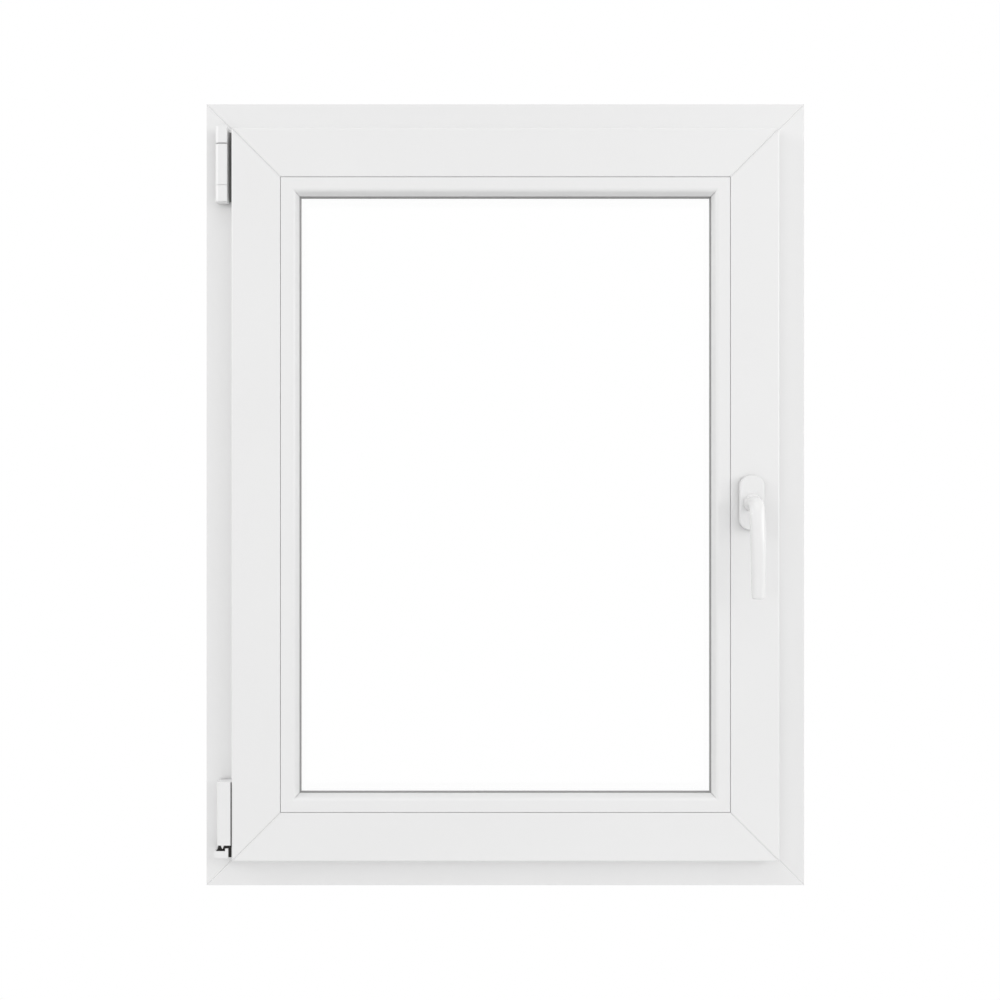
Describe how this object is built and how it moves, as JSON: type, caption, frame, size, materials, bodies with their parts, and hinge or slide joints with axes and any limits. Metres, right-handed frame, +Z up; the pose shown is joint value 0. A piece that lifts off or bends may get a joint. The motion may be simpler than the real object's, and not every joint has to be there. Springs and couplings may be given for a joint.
{
  "type": "tilt and turn window",
  "caption": "White plastic tilt and turn window: mitred hollow frame and sash, double glazing, hinge covers at the left and a turning lever handle at the right.",
  "frame": {"origin": "on the flat underside of the frame, halfway along it and halfway through the frame's depth", "axes": "X along the window with the hinges at -X and the handle at +X, -Y towards the room, +Z upwards"},
  "size_m": [0.75, 0.1492, 0.98],
  "materials": {
    "profile_white": "satin white PVC-U",
    "cover_white": "moulded satin white",
    "base_plastic": "moulded grey",
    "handle_white": "white powder coat",
    "seal_dark": "matt",
    "clear_glass": "clear float",
    "spacer_metal": "mill",
    "hinge_steel": "dark passivated zinc"
  },
  "bodies": {
    "window": {"corner_hinge": "hinge_steel", "corner_hinge_cover": "cover_white", "drain_cap_left": "profile_white", "drain_cap_right": "profile_white", "frame_head": "profile_white", "frame_jamb_handle_side": "profile_white", "frame_jamb_hinge_side": "profile_white", "frame_seal": "seal_dark", "frame_sill": "profile_white", "glass_edge_seal": "seal_dark", "glass_pane_outer": "clear_glass", "glass_pane_room": "clear_glass", "glass_spacer": "spacer_metal", "glazing_bead_bottom": "profile_white", "glazing_bead_left": "profile_white", "glazing_bead_right": "profile_white", "glazing_bead_top": "profile_white", "glazing_seal_outer": "seal_dark", "glazing_seal_room": "seal_dark", "pivot_cap": "cover_white", "pivot_rest": "hinge_steel", "rosette_base": "base_plastic", "rosette_cover": "cover_white", "sash_bottom_rail": "profile_white", "sash_handle_stile": "profile_white", "sash_hinge_stile": "profile_white", "sash_seal": "seal_dark", "sash_top_rail": "profile_white", "stay_arm": "hinge_steel", "stay_bracket": "hinge_steel", "stay_cap_lower": "cover_white", "stay_cap_upper": "cover_white", "stay_knuckle_cover": "cover_white", "stay_pin": "hinge_steel"},
    "handle": {"handle_lever": "handle_white", "handle_spindle": "hinge_steel"}
  },
  "joints": [
    {"name": "handle_turn", "type": "hinge", "parent": "window", "child": "handle", "pos_m": [0.3035, -0.055, 0.48], "axis": [0, 1, 0], "range_deg": [0, 180]}
  ]
}
